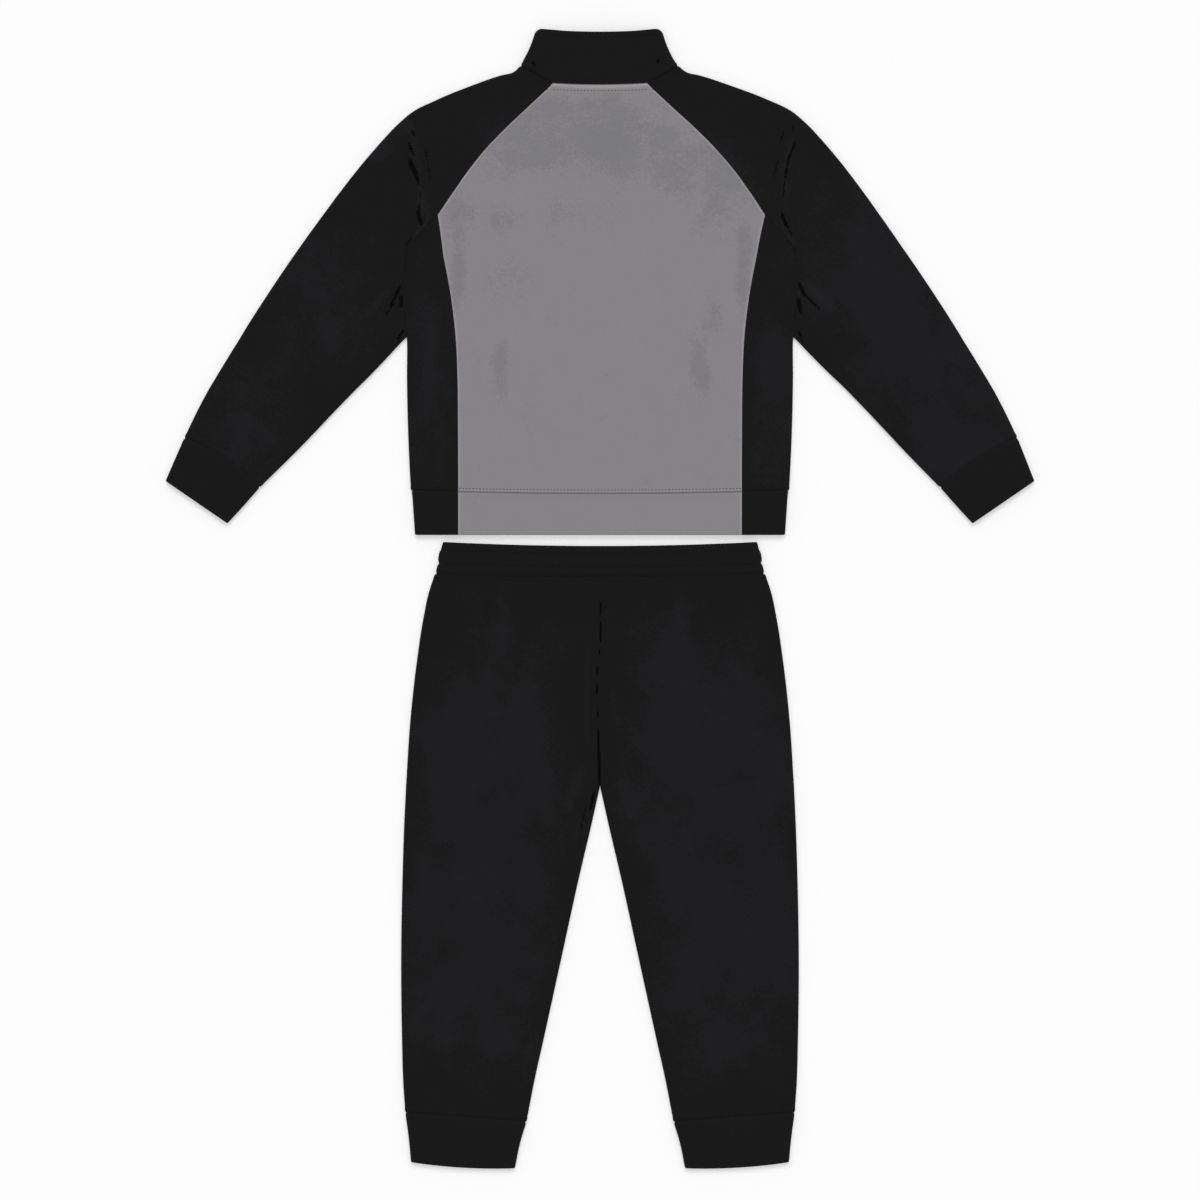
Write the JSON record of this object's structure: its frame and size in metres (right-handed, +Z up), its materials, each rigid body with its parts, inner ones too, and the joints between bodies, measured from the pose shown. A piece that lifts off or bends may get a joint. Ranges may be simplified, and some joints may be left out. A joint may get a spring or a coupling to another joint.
{
  "type": "tracksuit",
  "caption": "Child's two-piece tracksuit lying flat on its front: zip jacket with stand collar and raglan sleeves, and cuffed joggers.",
  "frame": {"origin": "middle of the laid-out set, on the surface that it lies on", "axes": "+Y from the leg cuffs to the collar, +X to the wearer's right, +Z up, out of the garment's back"},
  "size_m": [0.7992, 1.0476, 0.0092],
  "materials": {
    "black_knit": "matt smooth knit",
    "grey_knit": "matt smooth knit",
    "zip_tape": "matt woven tape",
    "zip_teeth": "moulded, satin",
    "zip_metal": "black enamel, satin"
  },
  "bodies": {
    "root": {"collar": "black_knit", "hem_band_back": "grey_knit", "hem_band_front_left": "grey_knit", "hem_band_front_right": "grey_knit", "hem_band_side_left": "black_knit", "hem_band_side_right": "black_knit", "jacket_back": "grey_knit", "jacket_front_left": "grey_knit", "jacket_front_right": "grey_knit", "jacket_side_left": "black_knit", "jacket_side_right": "black_knit", "leg_cuff_left": "black_knit", "leg_cuff_right": "black_knit", "sleeve_cuff_left": "black_knit", "sleeve_cuff_right": "black_knit", "sleeve_left": "black_knit", "sleeve_right": "black_knit", "trouser_back_left": "black_knit", "trouser_back_right": "black_knit", "trouser_front_left": "black_knit", "trouser_front_right": "black_knit", "waistband": "black_knit", "zip_chain": "zip_teeth", "zip_slider": "zip_metal", "zip_tape_left": "zip_tape", "zip_tape_right": "zip_tape"},
    "pull_tab": {"zip_pull": "zip_metal"}
  },
  "joints": [
    {"name": "pull_tab_hinge", "type": "hinge", "parent": "root", "child": "pull_tab", "pos_m": [0, 0.475, 0.0017], "axis": [1, 0, 0], "range_deg": [0, 174]}
  ]
}
